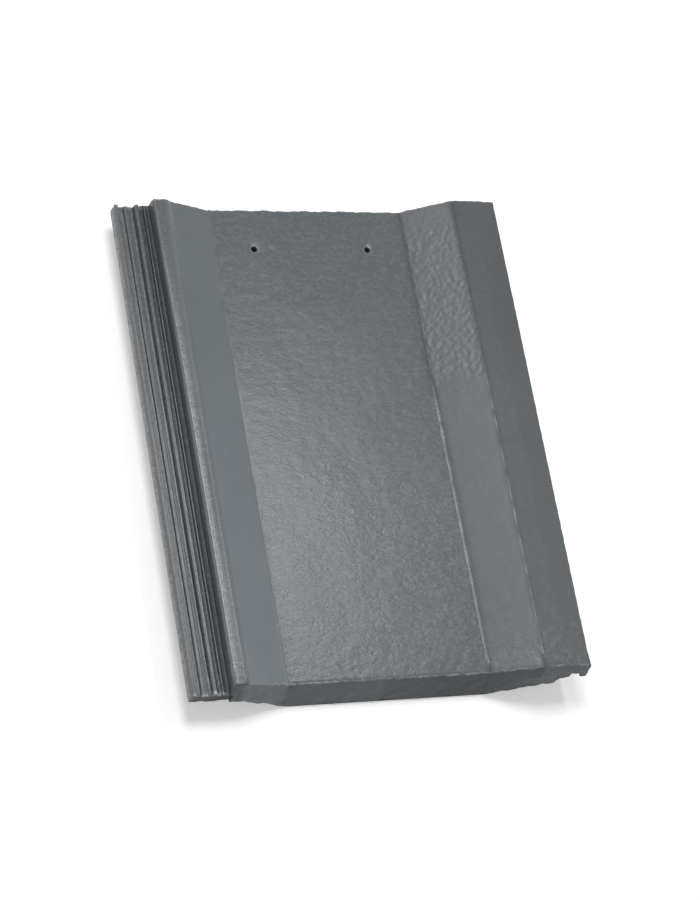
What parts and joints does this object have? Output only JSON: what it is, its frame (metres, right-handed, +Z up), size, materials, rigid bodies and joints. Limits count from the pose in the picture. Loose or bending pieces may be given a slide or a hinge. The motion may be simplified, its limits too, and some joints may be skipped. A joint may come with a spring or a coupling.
{
  "type": "interlocking concrete roof tile",
  "caption": "Slate-grey concrete roof tile with a flat trough, a ribbed side lock, nail holes near its head, hanging nibs and weather bars underneath.",
  "frame": {"origin": "centre of the tile's plan on the level floor that its tail bar and nibs rest on", "axes": "+X across the tile from the ribbed underlock to the overlock, +Y along it from the tail to the head, +Z up out of its face"},
  "size_m": [0.33, 0.413, 0.0493],
  "materials": {
    "slate_grey_concrete": "granular concrete with a thin slate-grey, half-gloss coat"
  },
  "bodies": {
    "root": {"roof_tile": "slate_grey_concrete"}
  },
  "joints": []
}
